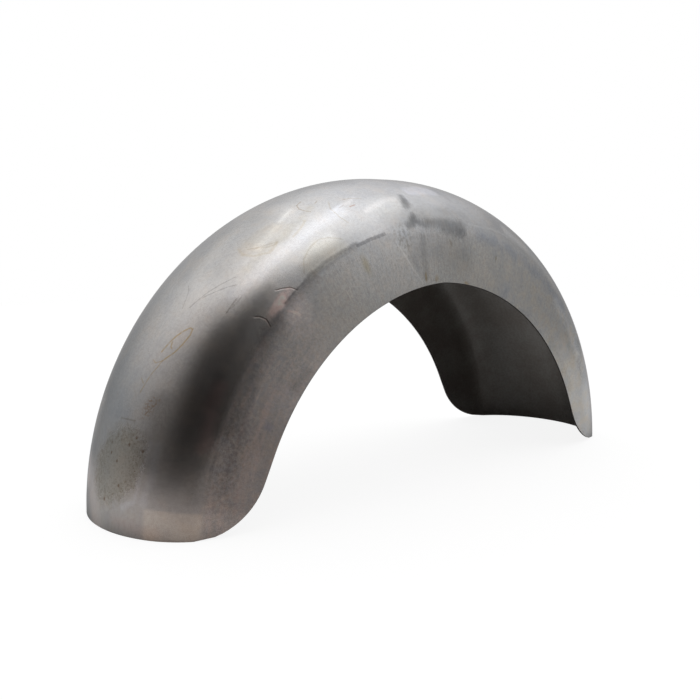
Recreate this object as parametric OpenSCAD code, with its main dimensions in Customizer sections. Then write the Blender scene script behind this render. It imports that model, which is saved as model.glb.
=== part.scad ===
// Rear fender for a motorcycle, pressed in sheet steel and left raw.
// Two mirrored halves meet on a ground weld over the wheel and make one piece.
// X runs fore and aft, Y across the wheel, Z up. The origin lies at the middle of the box
// round the fender, on the level of the two cut ends that it stands on.

/* [Overall] */
// Radius of the crown's middle line about the axle, seen from the side
outer_radius = 348; // [330:1:390]
// Straight stretch of crown between the weld and where each half starts to curve
half_spread = 8.5; // [1:0.5:20]
// Thickness of the sheet
sheet = 2; // [1:0.1:4]

/* [Cross section] */
// Radius of the crown across the wheel
crown_radius = 139; // [120:1:160]
// Angle from the crown's middle at which the crown runs into each shoulder
crown_spread = 27.4; // [15:0.1:35]
// Radius of the shoulder that rolls the crown over to the crease
shoulder_radius = 88; // [70:1:105]
// Angle to which each shoulder turns before the crease, where the skirt starts
shoulder_spread = 63.9; // [50:0.1:70]
// Angle at which each skirt leans outwards below its crease
skirt_lean = 11; // [0:0.5:18]

/* [Ends] */
// Height of the two cut ends above the axle
end_height = 8; // [0:1:30]

/* [Wheel arch] */
// Radius of the arch cut in the skirts
arch_radius = 262.5; // [250:0.5:280]
// How far the arch's centre lies below the axle
arch_drop = 31.5; // [10:0.5:50]
// How far each half's arch centre lies past the weld, which peaks the arch there
arch_lean = 9.5; // [0:0.5:25]
// Angle from straight up at which the arc runs out into a straight edge
arch_angle = 65.5; // [58:0.5:69]
// Radius of the rounded corner between that edge and the cut end
corner_radius = 76; // [40:1:105]

/* [Hidden] */

sheet_steel = [0.56, 0.55, 0.53];
sweep_facets = 180;
section_facets = 120;
// How far a cutting shape reaches past what it cuts
reach = 20;
// How far arcs and edges that would only touch are made to cross, so that one passes into the next
overlap = 0.005;

// The section is drawn with X running from the axle outwards and Y across the wheel
crown_centre = [outer_radius - crown_radius, 0];
// Each shoulder's arc goes on from the crown's arc without a bend and ends at the crease
centre_gap = crown_radius - shoulder_radius;
shoulder_centre = crown_centre + centre_gap * [cos(crown_spread), sin(crown_spread)];
crease = shoulder_centre + shoulder_radius * [cos(shoulder_spread), sin(shoulder_spread)];

// The arch on one half: its arc, its straight edge and its rounded corner
arch_centre = [-arch_lean, -arch_drop];
outward = [sin(arch_angle), cos(arch_angle)];
along = [cos(arch_angle), -sin(arch_angle)];
arch_end = arch_centre + arch_radius * outward;
edge_length = (arch_end.y + corner_radius * (outward.y - 1) - end_height) / sin(arch_angle);
edge_end = arch_end + along * edge_length;
corner_centre = edge_end + outward * corner_radius;
corner_foot = [corner_centre.x, arch_centre.y];

// Half the space between the two skirts at a distance from the axle
function skirt_room(distance, inset) =
    crease.y + (crease.x - distance) * tan(skirt_lean) - inset / cos(skirt_lean);

// The space under one side of the sheet. The crown ends on the lines from its own centre
// through the shoulders' centres, and the skirts trim the shoulders off at the creases.
module under_skin(inset) {
    past = outer_radius + reach;
    crown_end = past * [cos(crown_spread), sin(crown_spread)];
    flank = [[0, skirt_room(0, inset)], [past, skirt_room(past, inset)]];
    below_crease = (crease.x + shoulder_centre.x) / 2;
    intersection() {
        polygon([flank[0], flank[1], [flank[1].x, -flank[1].y], [flank[0].x, -flank[0].y]]);
        union() {
            translate(crown_centre)
                intersection() {
                    circle(r = crown_radius - inset, $fn = section_facets);
                    polygon([[0, 0], [crown_end.x, -crown_end.y], crown_end]);
                }
            for (side = [-1, 1])
                translate([shoulder_centre.x, side * shoulder_centre.y])
                    circle(r = shoulder_radius - inset + overlap, $fn = section_facets);
            translate([0, -2 * crease.y]) square([below_crease, 4 * crease.y]);
        }
    }
}

module sheet_section() {
    difference() {
        under_skin(0);
        under_skin(sheet);
    }
}

// Everything that the arch and its corner take away from the front half, seen from the side
module arch_opening() {
    translate(arch_centre) circle(r = arch_radius, $fn = sweep_facets);
    difference() {
        polygon([arch_centre, arch_end - overlap * outward, edge_end, corner_centre, corner_foot]);
        translate(corner_centre) circle(r = corner_radius + overlap, $fn = sweep_facets);
    }
}

module half_outline() {
    difference() {
        translate([0, end_height]) square([outer_radius + half_spread + reach, outer_radius + reach]);
        arch_opening();
    }
}

// The crown and skirts of one half before the arch is cut, about the axle
module half_blank() {
    translate([half_spread, 0, 0]) {
        rotate([90, 0, 0]) rotate_extrude(angle = 90, $fn = sweep_facets) sheet_section();
        rotate([0, -90, 0]) linear_extrude(height = half_spread) sheet_section();
    }
}

module fender_half() {
    intersection() {
        half_blank();
        rotate([90, 0, 0])
            linear_extrude(height = 4 * crease.y, center = true) half_outline();
    }
}

module rear_fender() {
    color(sheet_steel)
        translate([0, 0, -end_height]) {
            fender_half();
            mirror([1, 0, 0]) fender_half();
        }
}

rear_fender();
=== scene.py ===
import math

import bpy
import numpy as np
from mathutils import Matrix


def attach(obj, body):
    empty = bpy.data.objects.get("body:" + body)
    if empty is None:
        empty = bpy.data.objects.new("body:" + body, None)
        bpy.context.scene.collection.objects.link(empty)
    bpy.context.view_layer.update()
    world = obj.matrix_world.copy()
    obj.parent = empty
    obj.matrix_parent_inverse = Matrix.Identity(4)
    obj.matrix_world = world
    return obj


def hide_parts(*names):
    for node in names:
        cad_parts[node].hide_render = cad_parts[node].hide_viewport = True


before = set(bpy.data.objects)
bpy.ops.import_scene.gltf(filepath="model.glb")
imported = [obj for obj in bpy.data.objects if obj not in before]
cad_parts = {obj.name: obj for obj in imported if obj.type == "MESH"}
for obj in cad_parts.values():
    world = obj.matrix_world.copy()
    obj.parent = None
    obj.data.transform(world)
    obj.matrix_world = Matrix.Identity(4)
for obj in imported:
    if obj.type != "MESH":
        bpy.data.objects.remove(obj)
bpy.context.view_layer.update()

# Sizes in metres and angles in radians, as in the part's source
MILLIMETRE = 0.001
OUTER_RADIUS = 0.348
HALF_SPREAD = 0.0085
SHEET = 0.002
CROWN_RADIUS = 0.139
SHOULDER_RADIUS = 0.088
CROWN_SPREAD = math.radians(27.4)
SHOULDER_SPREAD = math.radians(63.9)
SKIRT_LEAN = math.radians(11)
END_HEIGHT = 0.008
ARCH_RADIUS = 0.2625
ARCH_DROP = 0.0315
ARCH_LEAN = 0.0095
ARCH_ANGLE = math.radians(65.5)
CORNER_RADIUS = 0.076

CROWN_CENTRE = OUTER_RADIUS - CROWN_RADIUS
CENTRE_GAP = CROWN_RADIUS - SHOULDER_RADIUS
SHOULDER_CENTRE = np.array(
    [
        CROWN_CENTRE + CENTRE_GAP * math.cos(CROWN_SPREAD),
        CENTRE_GAP * math.sin(CROWN_SPREAD),
    ]
)
CREASE = SHOULDER_CENTRE + SHOULDER_RADIUS * np.array(
    [math.cos(SHOULDER_SPREAD), math.sin(SHOULDER_SPREAD)]
)
SKIRT_ANGLE = math.pi / 2 - SKIRT_LEAN
# Width of the skirt at the weld, and how strongly it bows outwards between crease and arch
SKIRT_WIDTH = 0.066
SKIRT_BOW = 1.3
CROWN_GIRTH = CROWN_RADIUS * CROWN_SPREAD
CREASE_GIRTH = CROWN_GIRTH + SHOULDER_RADIUS * (SHOULDER_SPREAD - CROWN_SPREAD)

OUTWARD = np.array([math.sin(ARCH_ANGLE), math.cos(ARCH_ANGLE)])
ALONG = np.array([math.cos(ARCH_ANGLE), -math.sin(ARCH_ANGLE)])
ARCH_CENTRE = np.array([-ARCH_LEAN, -ARCH_DROP])
ARCH_END = ARCH_CENTRE + ARCH_RADIUS * OUTWARD
EDGE_LENGTH = (ARCH_END[1] + CORNER_RADIUS * (OUTWARD[1] - 1) - END_HEIGHT) / math.sin(ARCH_ANGLE)
EDGE_END = ARCH_END + ALONG * EDGE_LENGTH
CORNER_CENTRE = EDGE_END + OUTWARD * CORNER_RADIUS


# The section across the wheel and the side view
def section(girth, inset, bend):
    """Distance across the wheel and from the axle of the skin at a girth from the crown's middle.
    bend is half the length over which the shoulder turns into the skirt."""
    a = np.abs(girth)
    side = np.where(girth < 0, -1.0, 1.0)

    def plain(a):
        angle = np.where(
            a < CROWN_GIRTH,
            a / CROWN_RADIUS,
            np.where(
                a < CREASE_GIRTH, CROWN_SPREAD + (a - CROWN_GIRTH) / SHOULDER_RADIUS, SKIRT_ANGLE
            ),
        )
        below = np.maximum(a - CREASE_GIRTH, 0)
        bow = SKIRT_BOW * below * np.maximum(SKIRT_WIDTH - below, 0)
        y = np.where(
            a < CROWN_GIRTH,
            CROWN_RADIUS * np.sin(angle),
            np.where(
                a < CREASE_GIRTH,
                SHOULDER_CENTRE[1] + SHOULDER_RADIUS * np.sin(angle),
                CREASE[1] + below * math.sin(SKIRT_LEAN) + bow,
            ),
        )
        r = np.where(
            a < CROWN_GIRTH,
            CROWN_CENTRE + CROWN_RADIUS * np.cos(angle),
            np.where(
                a < CREASE_GIRTH,
                SHOULDER_CENTRE[0] + SHOULDER_RADIUS * np.cos(angle),
                CREASE[0] - below * math.cos(SKIRT_LEAN),
            ),
        )
        return y, r, angle

    y, r, angle = plain(a)
    ya, ra, first = plain(CREASE_GIRTH - bend)
    yb, rb, last = plain(CREASE_GIRTH + bend)
    t = np.clip((a - CREASE_GIRTH + bend) / (2 * bend), 0, 1)
    inside = (t > 0) & (t < 1)
    y = np.where(inside, (1 - t) ** 2 * ya + 2 * t * (1 - t) * CREASE[1] + t * t * yb, y)
    r = np.where(inside, (1 - t) ** 2 * ra + 2 * t * (1 - t) * CREASE[0] + t * t * rb, r)
    angle = np.where(inside, first + t * (last - first), angle)
    return side * (y - inset * np.sin(angle)), r - inset * np.cos(angle)


def girth_at(r):
    """Girth at which the outer skin lies at a distance from the axle."""
    crown_end = CROWN_CENTRE + CROWN_RADIUS * math.cos(CROWN_SPREAD)
    on_crown = CROWN_RADIUS * np.arccos(np.clip((r - CROWN_CENTRE) / CROWN_RADIUS, -1, 1))
    turn = np.arccos(np.clip((r - SHOULDER_CENTRE[0]) / SHOULDER_RADIUS, -1, 1))
    on_shoulder = CROWN_GIRTH + SHOULDER_RADIUS * (turn - CROWN_SPREAD)
    on_skirt = CREASE_GIRTH + (CREASE[0] - r) / math.cos(SKIRT_LEAN)
    return np.where(r >= crown_end, on_crown, np.where(r >= CREASE[0], on_shoulder, on_skirt))


def arch_reach(phi):
    """Distance from the middle of the cut ends' level to the arch, at an angle from straight up."""
    ray = np.stack([np.sin(phi), np.cos(phi)], -1)
    foot = np.array([0, END_HEIGHT])

    def to_circle(centre, radius, sign):
        gap = foot - centre
        b = ray @ gap
        return -b + sign * np.sqrt(np.maximum(b * b - gap @ gap + radius * radius, 0))

    to_edge = ((ARCH_END - foot) @ OUTWARD) / (ray @ OUTWARD)
    arc_turn = math.atan2(ARCH_END[0], ARCH_END[1] - END_HEIGHT)
    edge_turn = math.atan2(EDGE_END[0], EDGE_END[1] - END_HEIGHT)
    return np.where(
        phi <= arc_turn,
        to_circle(ARCH_CENTRE, ARCH_RADIUS, 1),
        np.where(phi <= edge_turn, to_edge, to_circle(CORNER_CENTRE, CORNER_RADIUS, -1)),
    )


# Angle from straight up past which a ray is far from the straight stretch of crown
NEARLY_LEVEL = 1.5


def on_ray(phi, r):
    """Fore-and-aft place and height of the skin at distance r from the axle, on a side view's ray."""
    side = np.where(phi < 0, -1.0, 1.0)
    a = np.abs(phi)
    flat = (r - END_HEIGHT) * np.tan(np.minimum(a, NEARLY_LEVEL))
    b = -HALF_SPREAD * np.sin(a) + END_HEIGHT * np.cos(a)
    t = -b + np.sqrt(b * b - HALF_SPREAD**2 - END_HEIGHT**2 + r * r)
    on_land = flat <= HALF_SPREAD
    x = np.where(on_land, flat, t * np.sin(a))
    z = np.where(on_land, r, END_HEIGHT + t * np.cos(a))
    return side * x, z


def along_crown(x, z):
    """Length along the crown from the weld, in line with a point of the side view."""
    a = np.abs(x)
    turn = np.where(a <= HALF_SPREAD, 0, np.arctan2(a - HALF_SPREAD, z))
    return np.sign(x) * (np.minimum(a, HALF_SPREAD) + OUTER_RADIUS * turn)


# The shell's mesh
STATIONS = 400
SHOULDER_ROWS = 28
BEND_ROWS = 6
SKIRT_ROWS = 14
BEVEL = 0.0005
# Least width of skirt left below the bend where the arch comes near the crease
LEAST_SKIRT = 0.004
# Half length of the bend at the crease left of the weld, and how much more it is elsewhere
TIGHT_BEND = 0.0022
MORE_AT_LEFT_END = 0.012
MORE_ON_RIGHT = 0.007
# Material slots of the mesh
OUTER, INNER, CUT = 0, 1, 2


def girth_rows(edge, bend):
    """Girths of one side's rows at every station, from the crown's middle to the arch."""
    lead = np.minimum(CREASE_GIRTH - bend, edge - 2 * bend - LEAST_SKIRT)
    tail = lead + 2 * bend
    parts = [
        lead[:, None] * np.linspace(0, 1, SHOULDER_ROWS, endpoint=False),
        lead[:, None] + (tail - lead)[:, None] * np.linspace(0, 1, BEND_ROWS, endpoint=False),
        tail[:, None] + (edge - tail)[:, None] * np.linspace(0, 1, SKIRT_ROWS + 1),
    ]
    return np.concatenate(parts, 1)


def bend_at(s):
    """Half length of the bend at the crease, at a length along the crown from the weld."""
    at_left_end = np.clip((-0.43 - s) / 0.08, 0, 1)
    on_right = np.clip((s + 0.10) / 0.05, 0, 1)
    return TIGHT_BEND + MORE_AT_LEFT_END * at_left_end + MORE_ON_RIGHT * on_right


def shell_points():
    """Grids of points of the outer and the inner skin, with their places along and across the skin."""
    phi = np.linspace(-math.pi / 2, math.pi / 2, STATIONS + 1)
    reach = arch_reach(np.abs(phi))
    edge_x, edge_z = reach * np.sin(np.abs(phi)), END_HEIGHT + reach * np.cos(phi)
    past = edge_x > HALF_SPREAD
    edge_r = np.where(past, np.hypot(edge_x - HALF_SPREAD, edge_z), edge_z)
    edge = girth_at(edge_r)
    bend = bend_at(along_crown(np.sign(phi) * edge_x, edge_z))
    rows = girth_rows(edge, bend)
    girth = np.concatenate([-rows[:, :0:-1], rows], 1)
    rays = np.broadcast_to(phi[:, None], girth.shape)
    grids = []
    for inset in (0, SHEET):
        y, r = section(girth, inset, bend[:, None])
        x, z = on_ray(rays, r)
        s = along_crown(x, z)
        grids.append((np.stack([x, y, z - END_HEIGHT], -1), s, girth))
    return grids


def build_shell():
    """One closed mesh of both skins and the rim, with its skin coordinates as a UV map in metres."""
    (outer, s_out, g_out), (inner, s_in, g_in) = shell_points()
    n_u, n_v = outer.shape[:2]
    verts, coords, faces, kinds = [], [], [], []

    def add_grid(points, s, g):
        start = len(verts)
        verts.extend(points.reshape(-1, 3).tolist())
        coords.extend(np.stack([s, g], -1).reshape(-1, 2).tolist())
        return start + np.arange(points.shape[0] * points.shape[1]).reshape(points.shape[:2])

    def add_faces(index, flip, kind):
        a, b, c, d = index[:-1, :-1], index[1:, :-1], index[1:, 1:], index[:-1, 1:]
        quads = np.stack([a, d, c, b] if flip else [a, b, c, d], -1).reshape(-1, 4)
        faces.extend(quads.tolist())
        kinds.extend([kind] * len(quads))

    # The rim is rounded: the skins stop a little short of it and two rows pass round it
    def shrink(points):
        p = points.copy()
        for k in (0, -1):
            step = p[:, 1 if k == 0 else -2] - p[:, k]
            length = np.linalg.norm(step, axis=-1, keepdims=True)
            p[:, k] += step / length * BEVEL
        for k in (0, -1):
            step = p[1 if k == 0 else -2] - p[k]
            length = np.linalg.norm(step, axis=-1, keepdims=True)
            p[k] += step / length * BEVEL
        return p

    def ring(grid):
        return np.concatenate([grid[:-1, 0], grid[-1, :-1], grid[:0:-1, -1], grid[0, :0:-1]])

    out_index = add_grid(shrink(outer), s_out, g_out)
    in_index = add_grid(shrink(inner), s_in, g_in)
    add_faces(out_index, False, OUTER)
    add_faces(in_index, True, INNER)
    inward = BEVEL / SHEET
    rim = [ring(out_index)]
    for t in (inward, 1 - inward):
        mid = outer * (1 - t) + inner * t
        edge_points = ring(np.arange(n_u * n_v).reshape(n_u, n_v))
        start = len(verts)
        verts.extend(mid.reshape(-1, 3)[edge_points].tolist())
        s_g = np.stack([s_out, g_out], -1).reshape(-1, 2)[edge_points]
        coords.extend(s_g.tolist())
        rim.append(start + np.arange(len(edge_points)))
    rim.append(ring(in_index))
    rim = np.stack(rim, 1)
    rim = np.concatenate([rim, rim[:1]], 0)
    add_faces(rim, True, CUT)

    mesh = bpy.data.meshes.new("fender_skin")
    mesh.from_pydata(verts, [], faces)
    mesh.polygons.foreach_set("use_smooth", [True] * len(faces))
    mesh.polygons.foreach_set("material_index", kinds)
    layer = mesh.uv_layers.new(name="skin")
    loops = np.empty(len(mesh.loops), np.int64)
    mesh.loops.foreach_get("vertex_index", loops)
    layer.data.foreach_set("uv", np.array(coords)[loops].ravel())
    # The skins and the rim meet at sharp edges, so that neither is shaded into the other
    ends = np.empty(2 * len(mesh.edges), np.int64)
    mesh.edges.foreach_get("vertices", ends)
    sharp = np.zeros(len(mesh.edges), bool)
    for grid in (out_index, in_index):
        on_ring = np.zeros(len(verts), bool)
        on_ring[ring(grid)] = True
        sharp |= on_ring[ends.reshape(-1, 2)].all(axis=1)
    mesh.attributes.new("sharp_edge", "BOOLEAN", "EDGE").data.foreach_set("value", sharp)
    mesh.update()
    return mesh


# Shader graphs in short form
class Signal:
    """One output of a shader graph, on which sums can be written."""

    def __init__(self, graph, socket):
        self.graph = graph
        self.socket = socket

    def __add__(self, other):
        return self.graph.math("ADD", self, other)

    def __sub__(self, other):
        return self.graph.math("SUBTRACT", self, other)

    def __rsub__(self, other):
        return self.graph.math("SUBTRACT", other, self)

    def __mul__(self, other):
        return self.graph.math("MULTIPLY", self, other)

    __radd__ = __add__
    __rmul__ = __mul__

    def abs(self):
        return self.graph.math("ABSOLUTE", self, 0)

    def max(self, other):
        return self.graph.math("MAXIMUM", self, other)

    def ramp(self, start, end):
        """Eases from 0 at start to 1 at end; start may be the larger of the two."""
        low, high = min(start, end), max(start, end)
        out = (0, 1) if start < end else (1, 0)
        return self.graph.remap(self, low, high, *out)


class Graph:
    """A node tree and the nodes that the materials and the studio need."""

    def __init__(self, tree):
        self.tree = tree

    def node(self, kind, **settings):
        n = self.tree.nodes.new(kind)
        for key, value in settings.items():
            setattr(n, key, value)
        return n

    def plug(self, node, socket, value):
        if isinstance(value, Signal):
            self.tree.links.new(value.socket, node.inputs[socket])
        else:
            node.inputs[socket].default_value = value

    def math(self, operation, a, b):
        n = self.node("ShaderNodeMath", operation=operation)
        self.plug(n, 0, a)
        self.plug(n, 1, b)
        return Signal(self, n.outputs[0])

    def remap(self, value, low, high, out_low, out_high):
        n = self.node("ShaderNodeMapRange", interpolation_type="SMOOTHSTEP", clamp=False)
        self.plug(n, 0, value)
        for k, v in enumerate((low, high, out_low, out_high), 1):
            n.inputs[k].default_value = v
        return Signal(self, n.outputs[0])

    def noise(self, vector, scale, detail, roughness=0.5, out="Fac"):
        n = self.node("ShaderNodeTexNoise")
        self.plug(n, "Vector", vector)
        self.plug(n, "Scale", scale)
        self.plug(n, "Detail", detail)
        self.plug(n, "Roughness", roughness)
        return Signal(self, n.outputs[0 if out == "Fac" else 1])

    def mapped(self, vector, place=(0, 0), turn=0.0, size=(1, 1)):
        """Coordinates from a place, turned and measured in units of size."""
        n = self.node("ShaderNodeMapping", vector_type="TEXTURE")
        self.plug(n, "Vector", vector)
        n.inputs["Location"].default_value = (place[0], place[1], 0)
        n.inputs["Rotation"].default_value = (0, 0, math.radians(turn))
        n.inputs["Scale"].default_value = (size[0], size[1], 1)
        return Signal(self, n.outputs[0])

    def vector(self, operation, *values):
        """A vector sum or the like, as its node."""
        n = self.node("ShaderNodeVectorMath", operation=operation)
        for k, value in enumerate(values):
            self.plug(n, k, value)
        return n

    def length(self, vector):
        return Signal(self, self.vector("LENGTH", vector).outputs["Value"])

    def local(self, where, place, turn, size):
        """Flat coordinates from a place, turned and measured in units of size."""
        (x, y), (a, b) = place, size
        if turn == 0:
            n = self.vector("MULTIPLY_ADD", where, (1 / a, 1 / b, 0), (-x / a, -y / b, 0))
            return Signal(self, n.outputs[0])
        c = math.cos(math.radians(turn))
        s = math.sin(math.radians(turn))
        moved = Signal(self, self.vector("SUBTRACT", where, (x, y, 0)).outputs[0])
        n = self.node("ShaderNodeCombineXYZ")
        for k, axis in enumerate(((c / a, s / a, 0), (-s / b, c / b, 0))):
            self.plug(n, k, Signal(self, self.vector("DOT_PRODUCT", moved, axis).outputs["Value"]))
        return Signal(self, n.outputs[0])

    def gap_to(self, start, end, where):
        """Distance on the skin from a straight stretch."""
        (x, y), (across, up) = start, (end[0] - start[0], end[1] - start[1])
        share = across * across + up * up
        moved = Signal(self, self.vector("SUBTRACT", where, (x, y, 0)).outputs[0])
        n = self.vector("DOT_PRODUCT", moved, (across / share, up / share, 0))
        along = self.math("MAXIMUM", Signal(self, n.outputs["Value"]), 0.0)
        along = self.math("MINIMUM", along, 1.0)
        n = self.node("ShaderNodeVectorMath", operation="SCALE")
        self.plug(n, 0, (across, up, 0))
        self.plug(n, 3, along)
        n = self.vector("DISTANCE", moved, Signal(self, n.outputs[0]))
        return Signal(self, n.outputs["Value"])

    def split(self, vector):
        n = self.node("ShaderNodeSeparateXYZ")
        self.plug(n, 0, vector)
        return [Signal(self, o) for o in n.outputs]

    def toward(self, vector, azimuth, elevation):
        """Cosine between a direction and one given by azimuth, from +Y towards +X, and elevation."""
        a, e = math.radians(azimuth), math.radians(elevation)
        way = (math.sin(a) * math.cos(e), math.cos(a) * math.cos(e), math.sin(e))
        return Signal(self, self.vector("DOT_PRODUCT", vector, way).outputs["Value"])

    def blend(self, factor, a, b, kind="MIX"):
        n = self.node("ShaderNodeMix", data_type="RGBA", blend_type=kind)
        self.plug(n, 0, factor)
        self.plug(n, 6, a)
        self.plug(n, 7, b)
        return Signal(self, n.outputs[2])


def steel(name, base, roughness):
    """A new metal material and its graph, shader and skin coordinates in millimetres.
    base and roughness hold where nothing else is plugged in."""
    material = bpy.data.materials.new(name)
    material.use_nodes = True
    tree = material.node_tree
    tree.nodes.clear()
    g = Graph(tree)
    shader = g.node("ShaderNodeBsdfPrincipled")
    output = g.node("ShaderNodeOutputMaterial")
    tree.links.new(shader.outputs[0], output.inputs[0])
    shader.inputs["Metallic"].default_value = 1
    shader.inputs["Base Color"].default_value = (*base, 1)
    shader.inputs["Roughness"].default_value = roughness
    uv = g.node("ShaderNodeUVMap", uv_map="skin")
    skin = g.mapped(Signal(g, uv.outputs[0]), size=(MILLIMETRE, MILLIMETRE))
    return material, g, shader, skin


outer_steel, g, shader, skin = steel("raw_steel_outer", (0.56, 0.55, 0.54), 0.24)
shader.inputs["Specular Tint"].default_value = (0.66, 0.66, 0.67, 1)
# Millimetres along the crown from the weld, and round the section from the crown's middle line.
# The side with the marks has the negative girths.
place_s, place_g, _ = g.split(skin)

# Places on the skin that wander by up to WANDER millimetres, for stains that dried by themselves
WANDER = 4.5
wander = g.node("ShaderNodeVectorMath", operation="MULTIPLY_ADD")
g.plug(wander, 0, g.noise(skin, 0.045, 3, out="Color"))
wander.inputs[1].default_value = (2 * WANDER, 2 * WANDER, 0)
shifted = g.node("ShaderNodeVectorMath", operation="ADD")
g.plug(shifted, 0, skin)
shifted.inputs[1].default_value = (-WANDER, -WANDER, 0)
g.plug(wander, 2, Signal(g, shifted.outputs[0]))
loose = Signal(g, wander.outputs[0])

# Fine grain, blotches, brush lines along the sheet and grinding lines across it
fine = g.noise(g.mapped(skin, size=(1.3, 1.0)), 1.0, 3, 0.65)
grain = g.noise(skin, 0.25, 3, 0.6)
blotch = g.noise(skin, 0.05, 5, 0.62)
cloud = g.noise(skin, 0.014, 3, 0.5)
brushed = g.noise(g.mapped(skin, turn=8, size=(16, 0.6)), 1.0, 2, 0.6)
cross = g.noise(g.mapped(skin, turn=-7, size=(0.9, 16)), 1.0, 2, 0.6)
speckle = g.noise(skin, 0.5, 3, 0.65)
mottle = g.noise(skin, 0.13, 4, 0.72)
streaks = g.noise(g.mapped(skin, turn=-3, size=(60, 4.5)), 1.0, 2, 0.5)
broken = grain.ramp(0.3, 0.55)
on_skirt = place_g.ramp(-112, -128)


def spot(place, size, turn, soft, where=loose):
    """1 inside an oval on the skin, easing to 0 at its edge; soft is the edge's share of the size."""
    return g.length(g.local(where, place, turn, size)).ramp(1 + soft, 1 - soft)


def path(points, width, where=skin, ragged=0.8, soft=0.75, frayed=grain):
    """A drawn line through the points, 1 in its middle and 0 at width from it.
    Its edge is ragged by about as many millimetres, and soft is the edge's share of the width."""
    gap = g.gap_to(points[0], points[1], where)
    for start, end in zip(points[1:], points[2:]):
        gap = g.math("MINIMUM", gap, g.gap_to(start, end, where))
    return (gap + ragged * (frayed - 0.5)).ramp(width, width * (1 - soft))


def window(value, low, high, soft):
    """1 between low and high, easing out over soft on both sides."""
    return value.ramp(low - soft, low + soft) * value.ramp(high + soft, high - soft)


def grey(value):
    return (value, value, value)


class Coat:
    """The steel's colour, on which shades are laid one after another."""

    def __init__(self, base):
        self.colour = (*base, 1)

    def tint(self, mask, shade):
        """Multiplies the colour by a shade where the mask is 1."""
        self.colour = g.blend(mask, self.colour, (*shade, 1), "MULTIPLY")

    def dab(self, place, size, shade, turn=0, soft=0.8):
        """Shades an oval."""
        self.tint(spot(place, size, turn, soft), shade)

    def stain(self, points, width, shade, ragged=4, soft=1.0):
        """Shades a wandering band along the points."""
        self.tint(path(points, width, loose, ragged, soft), shade)

    def scratch(self, points, width, shade, weight=1.0, where=skin, ragged=0.8):
        """Shades a thin line through the points."""
        mark = path(points, width, where, ragged)
        self.tint(mark if weight == 1 else mark * weight, shade)


coat = Coat((0.595, 0.593, 0.585))

# Warm heat colour over the left half and the skirts, bluish at the top
coat.tint(place_s.ramp(-120, -520) * place_g.ramp(30, -110), (1.12, 1.0, 0.95))
coat.tint(place_g.ramp(-115, -150) * place_s.ramp(-380, -160), (1.03, 1.0, 0.955))
coat.dab((0, -70), (150, 60), (0.98, 0.99, 1.03))

# Grain and blotches everywhere, mottles and streaks on the skirts
coat.tint(blotch.ramp(0.48, 0.7), (1.05, 1.02, 0.99))
coat.tint(blotch.ramp(0.5, 0.3), (0.94, 0.95, 0.97))
coat.tint(cloud.ramp(0.45, 0.65), (1.05, 1.03, 1.01))
coat.tint(fine.ramp(0.65, 0.3), grey(0.87))
coat.tint(grain.ramp(0.6, 0.35), (0.93, 0.92, 0.92))
left_skirt = on_skirt * place_s.ramp(-180, -350)
coat.tint(mottle.ramp(0.44, 0.68) * on_skirt, (1.03, 1.01, 1.0))
coat.tint(mottle.ramp(0.44, 0.68) * left_skirt, (1.05, 1.02, 1.0))
coat.tint(streaks.ramp(0.46, 0.64) * left_skirt, (1.08, 1.03, 1.02))
coat.tint(streaks.ramp(0.5, 0.34) * left_skirt, (0.94, 0.94, 0.95))
coat.tint(mottle.ramp(0.54, 0.34) * on_skirt, (0.97, 0.98, 1.0))
coat.tint(mottle.ramp(0.54, 0.34) * left_skirt, (0.96, 0.96, 0.98))
coat.tint(fine.ramp(0.6, 0.3) * on_skirt, grey(0.92))
coat.tint(fine.ramp(0.6, 0.3) * left_skirt, (0.94, 0.93, 0.92))
coat.tint(grain.ramp(0.58, 0.36) * on_skirt, grey(0.96))
coat.tint(brushed.ramp(0.58, 0.35) * left_skirt, grey(0.94))
coat.tint(blotch.ramp(0.6, 0.4) * on_skirt * place_s.ramp(60, 160), (0.9, 0.91, 0.93))
coat.tint(brushed.ramp(0.6, 0.3) * place_g.ramp(-125, -90), grey(0.95))
coat.tint(on_skirt * place_s.ramp(-420, -200), (1.2, 1.22, 1.24))
ground_skirt = window(place_s, -230, 130, 40) * place_g.ramp(-118, -135)
coat.tint(cross.ramp(0.58, 0.32) * ground_skirt, grey(0.86))

# Lighter patches: ground skirt beside the weld, painted highlights along the crown and on a lump by
# the crease with painted shade between them, the left end
coat.dab((-90, -150), (80, 34), (1.28, 1.28, 1.3), soft=0.7)
coat.tint(spot((-262, -132), (22, 20), 0, 0.8) * blotch.ramp(0.3, 0.55), (1.3, 1.24, 1.24))
# Painted highlight, tinted pink, on a lump beside the crease
coat.dab((-267, -116.5), (19, 4.5), (1.72, 1.42, 1.35), turn=2, soft=0.6)
# Painted highlights: bright streaks along the crown, where dents in it catch the light
highlight_band = [(-285, -79), (-250, -85), (-200, -86), (-150, -82), (-120, -80)]
coat.stain(highlight_band, 13, (1.14, 1.15, 1.18), ragged=3)
coat.stain([(-130, -76), (-105, -72), (-90, -68)], 4.5, (1.15, 1.15, 1.16), ragged=2)
coat.stain([(-95, -92), (-60, -84), (-42, -82)], 6, (1.15, 1.14, 1.14), ragged=2)
coat.stain([(-225, -60), (-190, -52), (-160, -44)], 9, (1.12, 1.12, 1.11), ragged=3)
coat.stain([(-182, -49), (-160, -43)], 4, grey(1.12), ragged=2)
# A beige tone with painted shade: darker between the highlight streaks, where the crown dips
beige_shade_band = [(-255, -68), (-200, -70), (-165, -64), (-140, -55)]
coat.stain(beige_shade_band, 8, (0.94, 0.93, 0.9), ragged=3)
tan_patch = window(place_s, -548, -516, 2) * window(place_g, -120, -64, 3)
coat.tint(tan_patch, (1.27, 1.22, 1.15))
coat.stain([(-6, -68), (22, -64), (30, -66)], 13, (1.16, 1.16, 1.2), ragged=5, soft=0.5)
coat.dab((-62, -92), (30, 14), (1.12, 1.12, 1.1), turn=10, soft=0.7)

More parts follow.
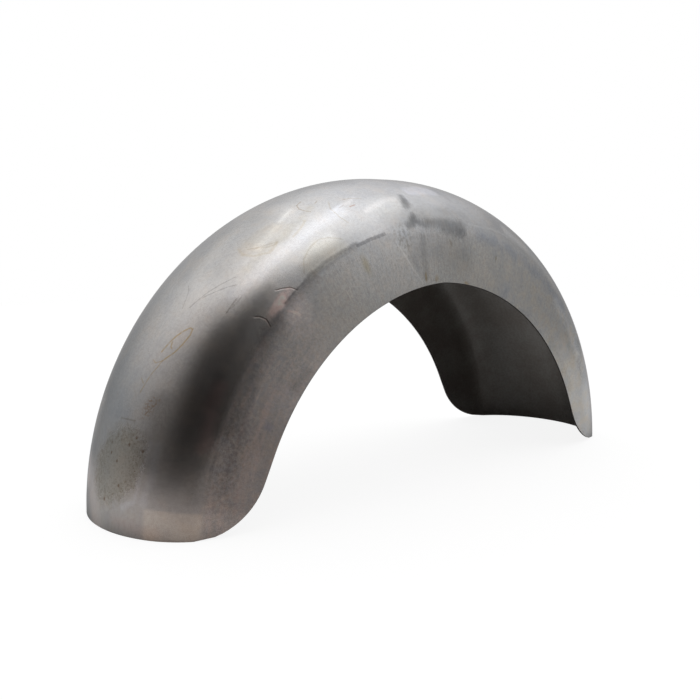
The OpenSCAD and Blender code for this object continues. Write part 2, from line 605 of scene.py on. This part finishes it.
# Darker, bluish or brown zones
coat.stain([(-445, -112), (-380, -108)], 12, (1.26, 1.08, 1.07))
coat.stain([(-60, -150), (-42, -172)], 9, grey(0.93), soft=0.8)
coat.dab((-432, -6), (36, 30), (0.78, 0.82, 0.86), turn=10, soft=0.9)
coat.dab((-250, 5), (110, 24), grey(0.9), turn=-3, soft=0.9)
coat.dab((-395, 30), (90, 16), (0.88, 0.9, 0.92), turn=-3, soft=0.9)
coat.stain([(42, -60), (50, -80)], 9, (0.9, 0.9, 0.92), ragged=5, soft=0.8)
coat.tint(spot((-460, -138), (60, 12), 0, 0.9) * grain.ramp(0.6, 0.4), (0.86, 0.84, 0.84))

# Broad, soft changes of tone: from, to, width and tone. Some are painted reflection and painted shade,
# lighter where the steel should mirror brighter surroundings and darker where it should mirror darker
# ones
for start, end, width, tone in (
    # Painted shade: the dark band along the crease at the left, deepened
    ((-420, -126), (-285, -126), 21, 0.6),
    ((-500, -112), (-465, -112), 14, 0.84),
    ((-545, -85), (-545, -25), 20, 0.88),
    ((-400, -108), (-370, -104), 10, 0.84),
    ((-335, -74), (-300, -86), 13, 1.15),
    ((-268, -106), (-225, -112), 8, 1.15),
    ((-470, -66), (-415, -60), 22, 0.76),
    ((-540, -170), (-525, -130), 26, 1.3),
    ((-530, -168), (-450, -166), 20, 1.1),
    ((505, -165), (530, -150), 20, 1.15),
    ((-505, 48), (-430, 48), 24, 1.5),
    ((-440, 0), (-300, 5), 45, 1.08),
    ((-265, -45), (-190, -28), 34, 0.78),
    ((-285, -2), (-215, -2), 20, 0.9),
    ((-185, 15), (-130, 0), 18, 1.12),
    ((-45, -28), (30, -55), 22, 1.2),
    ((-250, -103), (-160, -103), 12, 1.28),
    ((-400, -147), (-320, -148), 9, 1.06),
    ((-110, -25), (-40, -50), 34, 1.12),
    ((-10, -70), (90, -88), 36, 1.19),
    ((-45, -150), (45, -155), 34, 0.82),
    ((-75, -106), (-20, -112), 20, 0.86),
    ((20, -103), (60, -106), 10, 0.9),
    ((-130, -160), (-60, -165), 22, 0.93),
    ((150, -100), (370, -115), 15, 1.38),
    ((290, -130), (390, -133), 15, 1.27),
    ((-340, -178), (-310, -182), 13, 0.8),
    ((315, -182), (430, -176), 12, 0.87),
    ((460, -130), (530, -135), 26, 1.2),
):
    coat.stain([start, end], width, grey(tone))

# Tinted streaks round the dark band and the oval at the left end, with painted shade deepening the
# dark band and a pinkish painted reflection at the lower left end
coat.stain([(-455, -62), (-474, -58), (-512, -52), (-520, -38)], 5, (1.1, 1.12, 1.17), ragged=3)
coat.stain([(-350, -159), (-400, -160), (-468, -157), (-496, -149)], 9, (1.1, 1.06, 1.05))
coat.stain([(-365, -139), (-425, -143), (-470, -140), (-493, -137)], 7, (0.88, 0.88, 0.89))
coat.stain([(-455, -71), (-485, -69), (-512, -61)], 8, (1.1, 1.12, 1.16))
# Painted shade: the dark band mirrored from the camera's side, deepened
coat.stain([(-395, -97), (-435, -99), (-480, -96)], 15, grey(0.88), soft=0.8)
# Painted reflection, pinkish: the bright left of the studio mirrored at the lower left end
coat.stain([(-545, 8), (-500, 30)], 26, (1.34, 1.27, 1.25), ragged=3)
coat.stain([(-482, 42), (-513, 40)], 7, (1.16, 1.1, 1.1), ragged=3)
coat.stain([(-534, -30), (-541, -76)], 12, (1.06, 1.0, 0.98))
coat.dab((-403, -168), (5, 4), (0.85, 0.88, 1.0))
coat.stain([(-509, -122), (-498, -136), (-491, -148)], 3, (1.16, 1.12, 1.08), ragged=3)

# The big speckled oval, with its darker dots and rim, and the small marks beside it
from_oval = g.length(g.local(loose, (-482, -22), -40, (42, 30))) + 0.7 * (mottle - 0.5)
oval = from_oval.ramp(1.3, 0.7)
oval_edge = oval * from_oval.ramp(0.35, 0.95)
coat.tint(oval, (0.85, 0.84, 0.79))
coat.tint(oval * speckle.ramp(0.5, 0.62), (0.81, 0.78, 0.74))
coat.tint(oval_edge * speckle.ramp(0.52, 0.6), (0.72, 0.66, 0.6))
coat.tint(oval_edge * grain.ramp(0.5, 0.38), (0.84, 0.81, 0.77))
DOTS = ((-460, -37), (-517, -10), (-472, -13), (-452, -44), (-500, -31), (-463, -55), (-478, -24))
for dot in DOTS:
    coat.tint(spot(dot, (1.6, 1.2), 0, 0.6, skin), (0.62, 0.52, 0.46))
coat.tint(spot((-421, -50), (13, 7), -28, 0.5) * speckle.ramp(0.48, 0.6), (0.76, 0.62, 0.5))
scribble = [(-411, -58), (-417, -55), (-424, -50), (-429, -47)]
coat.tint(path(scribble, 1.0, ragged=1.4) * broken, (0.8, 0.7, 0.6))
coat.scratch([(-438, -17), (-437, -37)], 1.0, (0.74, 0.7, 0.66), 0.7, ragged=1.4)

# Ochre outline left by a dried drop, and its tail
OCHRE = (0.86, 0.71, 0.47)
drop_front = [(-336, -59), (-336, -56), (-341, -51), (-348, -46), (-356, -42), (-367, -38)]
drop_back = [(-336, -59), (-343, -60), (-355, -57), (-364, -53), (-375, -44)]
coat.tint(path(drop_front, 1.4, ragged=1.4) * broken, OCHRE)
coat.tint(path(drop_back, 1.3, ragged=1.4) * broken, OCHRE)
coat.tint(path([(-355, -45), (-360, -46), (-361, -48)], 1.2, ragged=1.4) * broken, OCHRE)
for points, strength in (
    ([(-375, -44), (-383, -41), (-392, -37), (-410, -32)], 0.7),
    ([(-377, -32), (-379, -37), (-376, -43)], 0.7),
    ([(-397, -27), (-401, -32)], 0.6),
):
    coat.tint(path(points, 1.1, ragged=1.4) * broken * strength, OCHRE)

# Faint outlines of pools on the crown
pool = [(-238, -43), (-241, -51), (-238, -64), (-226, -74), (-212, -74), (-208, -70)]
coat.scratch(pool, 2.4, (0.9, 0.86, 0.79), 0.7, loose, 2.4)
coat.dab((-210, -56), (32, 17), (0.96, 0.94, 0.9), turn=-8, soft=0.3)
coat.scratch([(-233, -52), (-225, -60), (-208, -71)], 1.1, (0.78, 0.74, 0.69), 0.55, ragged=1.6)
coat.scratch([(-227, -59), (-219, -68), (-210, -72)], 1.2, (0.82, 0.77, 0.7), 0.6, ragged=1.6)
coat.scratch([(-164, -68), (-177, -75), (-191, -77)], 2.2, (0.93, 0.88, 0.78), 0.6, loose, 2.2)
ring_side = [(-121, -60), (-129, -72), (-130, -86), (-127, -97)]
coat.scratch(ring_side, 1.3, (0.84, 0.77, 0.67), 0.6, ragged=2)
coat.scratch([(-104, -65), (-95, -67), (-84, -72)], 1.1, (0.84, 0.77, 0.67), 0.6, ragged=2)
coat.scratch([(-107, -79), (-100, -79)], 1.3, (0.8, 0.64, 0.58))
coat.scratch([(-119, -75), (-112, -74)], 1.2, (0.8, 0.74, 0.7), 0.7)
loop = [(-140, -38), (-149, -41), (-153, -49), (-152, -55), (-149, -62)]
coat.scratch(loop, 1.1, (0.76, 0.69, 0.6), 0.8, ragged=1.4)
coat.scratch([(-128, -50), (-134, -53)], 1.2, (0.8, 0.74, 0.66), 0.7)
half_ring = [(-218, -114), (-206, -104), (-188, -98), (-173, -97), (-162, -101), (-149, -110)]
coat.scratch(half_ring, 1.3, (0.84, 0.81, 0.75), 0.6, ragged=2)
inside_ring = spot((-184, -118), (34, 20), 0, 0.25) * place_g.ramp(-124, -121)
coat.tint(inside_ring, (1.04, 1.02, 0.96))
coat.dab((-137, -145), (5, 9), (0.88, 0.83, 0.7))

# Grey scratches
long_scratch = [(-268, -65), (-275, -61), (-282, -57), (-297, -49), (-316, -42)]
coat.scratch(long_scratch, 1, grey(0.78), ragged=1.6)
coat.scratch([(-275, -72), (-281, -66), (-287, -61), (-303, -48)], 1, grey(0.78), ragged=1.6)
coat.scratch([(-320, -34), (-310, -31), (-300, -27), (-294, -21)], 1, grey(0.82))
coat.scratch([(-307, -81), (-297, -81), (-289, -81)], 1.2, (0.72, 0.7, 0.68), 0.8, ragged=2)
coat.scratch([(-302, -82), (-290, -84), (-285, -84)], 1.1, (0.72, 0.7, 0.68), 0.5, ragged=2)

# Pressing wrinkles where the crown was drawn over, with painted shade in their folds
wrinkles = path([(-296, -106), (-293, -109), (-291, -116), (-295, -123)], 1.4)
wrinkles = wrinkles.max(path([(-257, -106), (-250, -110), (-243, -115), (-240, -121)], 1.3))
# Painted shade: the wrinkles' folds darkened
coat.tint(wrinkles, (0.66, 0.6, 0.58))
coat.scratch([(-259, -138), (-262, -132), (-266, -128)], 2.4, (1.3, 1.2, 1.16), 0.8, loose, 2)

# Painted shade along the crease beside the weld: a dark line, a softer shade below it and a fainter
# one further left
line = path([(-262, -120.8), (-225, -120.4)], 1.6, skin, 1.6)
line = line.max(path([(-225, -119.6), (-190, -119.6), (-137, -120.8)], 3.2, skin, 2.2, 0.9))
line = line.max(path([(-137, -123.4), (-90, -123.6)], 2.6, skin, 1.8, 0.6))
coat.tint(line * mottle.ramp(0.2, 0.5), (0.66, 0.66, 0.67))
crease_shade_below = path([(-262, -122), (-225, -122.5), (-150, -123), (-137, -122)], 4.5, skin, 2, 1.0)
coat.tint(crease_shade_below, grey(0.76))
coat.stain([(-312, -125), (-250, -125), (-212, -125)], 11, (0.8, 0.79, 0.79))
crease_shade_left = window(place_s, -480, -262, 25) * (place_g + 123.5).abs().ramp(2.5, 0.5)
coat.tint(crease_shade_left * 0.5, grey(0.75))

# Grinding smudges on the weld: points, width, raggedness and softness, all frayed across the sheet
smudge = path([(-34, -117), (-17, -122), (-8, -121)], 8.5, loose, 10, 1.0, cross) * 0.9
for points, width, ragged, soft in (
    ([(-10, -120), (14, -122)], 11.5, 12, 0.9),
    ([(12, -124), (46, -124)], 14, 16, 0.8),
    ([(-46, -122), (-40, -121), (-31, -110)], 8, 8, 0.9),
    ([(-28, -80), (-31, -89), (-35, -97)], 7.5, 8, 1.0),
):
    smudge = smudge.max(path(points, width, loose, ragged, soft, cross))
coat.tint(smudge, grey(0.66))
coat.tint(smudge * cross.ramp(0.6, 0.4), grey(0.86))
coat.stain([(38, -128), (50, -129)], 8, (0.86, 0.86, 0.87), ragged=6, soft=0.6)
coat.stain([(-38, -113), (-10, -106), (25, -106)], 17, (0.92, 0.92, 0.91), ragged=5)
coat.dab((-30, -90), (6, 8), grey(0.74), turn=30, soft=0.6)
coat.dab((-37, -117), (8, 6), grey(0.86), turn=30, soft=0.6)

# Dark and light stripes, a fine straight line and small rust spots on the skirt under the weld
coat.stain([(-28, -137), (-34, -158), (-34, -176)], 9, grey(0.84), soft=0.7)
coat.stain([(-66, -148), (-60, -170), (-58, -182)], 10, grey(1.07), ragged=3, soft=0.8)
coat.stain([(-18, -150), (-11, -176)], 5, grey(1.06), ragged=3)
coat.scratch([(-77, -134), (-69, -149), (-59, -166), (-44, -184)], 1.8, grey(1.13), ragged=1.2)
coat.tint(spot((-62, -132), (13, 15), 0, 0.5) * grain.ramp(0.55, 0.4), (0.84, 0.83, 0.8))
coat.dab((-35, -177), (2, 5), (0.85, 0.74, 0.56), soft=0.6)
coat.dab((-11, -180), (4, 3.5), (0.92, 0.84, 0.72))
coat.dab((50, -186), (5, 2), (0.88, 0.78, 0.62))
coat.dab((20, -143), (2, 4), (0.78, 0.74, 0.68), soft=0.6)
coat.dab((119, -147), (2, 4), (0.78, 0.75, 0.68), soft=0.6)

# The right skirt's blotches, its bluish band and the thin light line above it
BLOTCHES = ((345, -142), (365, -149), (423, -139), (391, -183), (407, -136), (328, -136), (384, -142))
for place in BLOTCHES:
    coat.tint(spot(place, (9, 4), 0, 0.8) * grain.ramp(0.6, 0.42), grey(0.84))
coat.stain([(80, -128), (150, -130), (245, -126), (310, -121)], 12, (0.87, 0.89, 0.93))
light_line = path([(63, -117), (91, -115), (129, -111), (147, -110)], 2.6, loose, 2, 1.0)
coat.tint(light_line, grey(1.12))
coat.dab((395, -172), (60, 18), (1.05, 1.04, 1.02), soft=0.9)
coat.dab((158, -180), (22, 12), (0.9, 0.94, 1.0), soft=0.9)
right_blotches = place_s.ramp(80, 300) * blotch.ramp(0.45, 0.6) * place_g.ramp(-118, -128)
coat.tint(right_blotches, (0.93, 0.91, 0.88))

g.plug(shader, "Base Color", coat.colour)

# Roughness: smoother worn crown, rougher stains and ground weld
rough = 0.2 + 0.06 * blotch + 0.08 * smudge + 0.05 * oval + 0.04 * fine
g.plug(shader, "Roughness", rough)

# Relief in millimetres: hand-worked waviness, grain, brush lines, wrinkles and a groove along the
# crease's dark line
relief = 0.16 * cloud + 0.03 * blotch + 0.004 * grain + 0.003 * fine + 0.003 * brushed
relief = relief - 0.1 * wrinkles - 0.05 * line
bump = g.node("ShaderNodeBump")
g.plug(bump, "Height", relief)
g.plug(bump, "Strength", 1.0)
g.plug(bump, "Distance", MILLIMETRE)
g.plug(shader, "Normal", Signal(g, bump.outputs[0]))

# The inside is darker and duller, its darker colour partly painted shade of the hollow, and the cut
# rim darker still
inner_steel, inner_g, inner_shader, inner_skin = steel("raw_steel_inner", (0.36, 0.34, 0.32), 0.35)
clouded = inner_g.noise(inner_skin, 0.02, 4, 0.6).ramp(0.35, 0.65)
dusty = inner_g.noise(inner_skin, 0.3, 3, 0.65)
inner_colour = inner_g.blend(clouded, (0.34, 0.315, 0.295, 1), (0.4, 0.385, 0.37, 1))
dust = (0.88, 0.86, 0.84, 1)
inner_colour = inner_g.blend(dusty.ramp(0.6, 0.4), inner_colour, dust, "MULTIPLY")
inner_g.plug(inner_shader, "Base Color", inner_colour)
inner_g.plug(inner_shader, "Roughness", 0.32 + 0.08 * dusty)
cut_steel, _, _, _ = steel("raw_steel_cut", (0.13, 0.12, 0.115), 0.45)

shell = bpy.data.objects.new("fender_skin", build_shell())
bpy.context.scene.collection.objects.link(shell)
for material in (outer_steel, inner_steel, cut_steel):
    shell.data.materials.append(material)
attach(shell, "root")
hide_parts("rear_fender")

# Camera: its place, its angles, with the yaw from +Y towards +X, and its lens in millimetres
EYE = (-0.69218, -0.77416, 0.2741)
YAW = math.radians(40.1764)
PITCH = math.radians(-7.4241)
ROLL = math.radians(0.6508)
SENSOR_WIDTH = 36
FOCAL_LENGTH = 44.811
camera = bpy.data.objects.new("camera", bpy.data.cameras.new("camera"))
bpy.context.scene.collection.objects.link(camera)
camera.location = EYE
forward = np.array(
    [math.sin(YAW) * math.cos(PITCH), math.cos(YAW) * math.cos(PITCH), math.sin(PITCH)]
)
right = np.array([math.cos(YAW), -math.sin(YAW), 0])
up = np.cross(right, forward)
turned_right = math.cos(ROLL) * right - math.sin(ROLL) * up
turned_up = math.sin(ROLL) * right + math.cos(ROLL) * up
axes = np.stack([turned_right, turned_up, -forward], 1)
camera.rotation_mode = "QUATERNION"
camera.rotation_quaternion = Matrix(axes.tolist()).to_quaternion()
camera.data.sensor_width = SENSOR_WIDTH
camera.data.lens = FOCAL_LENGTH
camera.data.clip_start = 0.05
camera.data.clip_end = 50
bpy.context.scene.camera = camera

# Studio: azimuths in degrees from +Y towards +X, white to the camera's own rays
DARK_SIDE = -133
DARKNESS = 0.955


def sine(angle):
    return math.sin(math.radians(angle))


world = bpy.data.worlds.new("studio")
bpy.context.scene.world = world
world.use_nodes = True
world.node_tree.nodes.clear()
w = Graph(world.node_tree)
direction = Signal(w, w.node("ShaderNodeTexCoord").outputs["Generated"])
height = w.split(direction)[2]
sky = 0.3 + 1.1 * height.max(0) * height.max(0)
# The side of the studio towards the camera is dark, below the light overhead
ahead = w.toward(direction, DARK_SIDE, 0)
aside = w.toward(direction, DARK_SIDE + 90, 0)
turned = w.math("ARCTAN2", aside, ahead).abs()
past_side = turned.ramp(math.radians(15), math.radians(95))
past_top = height.ramp(sine(51), sine(78))
low = height.ramp(sine(13), -0.02)
dark = (1 - past_side) * (1 - past_top) * (1 - 0.12 * low)
# Soft lights behind the fender, on its far left and overhead on its right
behind = w.toward(direction, 22, 12).ramp(0.0, 1.0)
panel = w.toward(direction, 33, 26).ramp(0.72, 0.98)
overhead = w.toward(direction, 112, 68).ramp(0.85, 1.0)
light = sky * (1 - DARKNESS * dark) + 0.14 * behind + 0.24 * panel + 0.2 * overhead
paths = w.node("ShaderNodeLightPath")
seen = Signal(w, paths.outputs["Is Camera Ray"])
background = w.node("ShaderNodeBackground")
w.plug(background, "Color", (1, 1, 1, 1))
w.plug(background, "Strength", light * (1 - seen) + seen)
world_out = w.node("ShaderNodeOutputWorld")
world.node_tree.links.new(background.outputs[0], world_out.inputs[0])

# The floor is white to the camera and a soft grey to the rays that light the steel
FLOOR_RADIUS = 3
FLOOR_SIDES = 96
FLOOR_GREY = 0.17
FLOOR_GLOW = 0.885
turns = [2 * math.pi * k / FLOOR_SIDES for k in range(FLOOR_SIDES)]
floor_mesh = bpy.data.meshes.new("floor")
floor_mesh.from_pydata(
    [(FLOOR_RADIUS * math.cos(t), FLOOR_RADIUS * math.sin(t), 0) for t in turns],
    [],
    [list(range(FLOOR_SIDES))],
)
floor = bpy.data.objects.new("floor", floor_mesh)
bpy.context.scene.collection.objects.link(floor)
floor_paint = bpy.data.materials.new("floor")
floor_paint.use_nodes = True
floor_paint.node_tree.nodes.clear()
f = Graph(floor_paint.node_tree)
matte = f.node("ShaderNodeBsdfDiffuse")
bright = f.node("ShaderNodeEmission")
both = f.node("ShaderNodeAddShader")
floor_out = f.node("ShaderNodeOutputMaterial")
floor_seen = Signal(f, f.node("ShaderNodeLightPath").outputs["Is Camera Ray"])
floor_place = Signal(f, f.node("ShaderNodeNewGeometry").outputs["Position"])
floor_x, floor_y, _ = f.split(floor_place)
# Painted light on the floor for the rays that light the steel: a grey that brightens towards +X and
# +Y, and a pool of light near the fender's left end
light_pool_near_foot = f.length(f.mapped(floor_place, place=(-0.5, 0.1))).ramp(0.45, 0.1)
lit = FLOOR_GREY + 0.36 * floor_y.ramp(-1.3, 0.8) + 0.45 * floor_x.ramp(-0.1, 0.6)
f.plug(matte, "Color", f.blend(floor_seen, lit + 0.25 * light_pool_near_foot, (*grey(FLOOR_GREY), 1)))
f.plug(bright, "Strength", floor_seen * FLOOR_GLOW)
floor_paint.node_tree.links.new(matte.outputs[0], both.inputs[0])
floor_paint.node_tree.links.new(bright.outputs[0], both.inputs[1])
floor_paint.node_tree.links.new(both.outputs[0], floor_out.inputs[0])
floor_mesh.materials.append(floor_paint)

bpy.context.scene.view_settings.view_transform = "Standard"
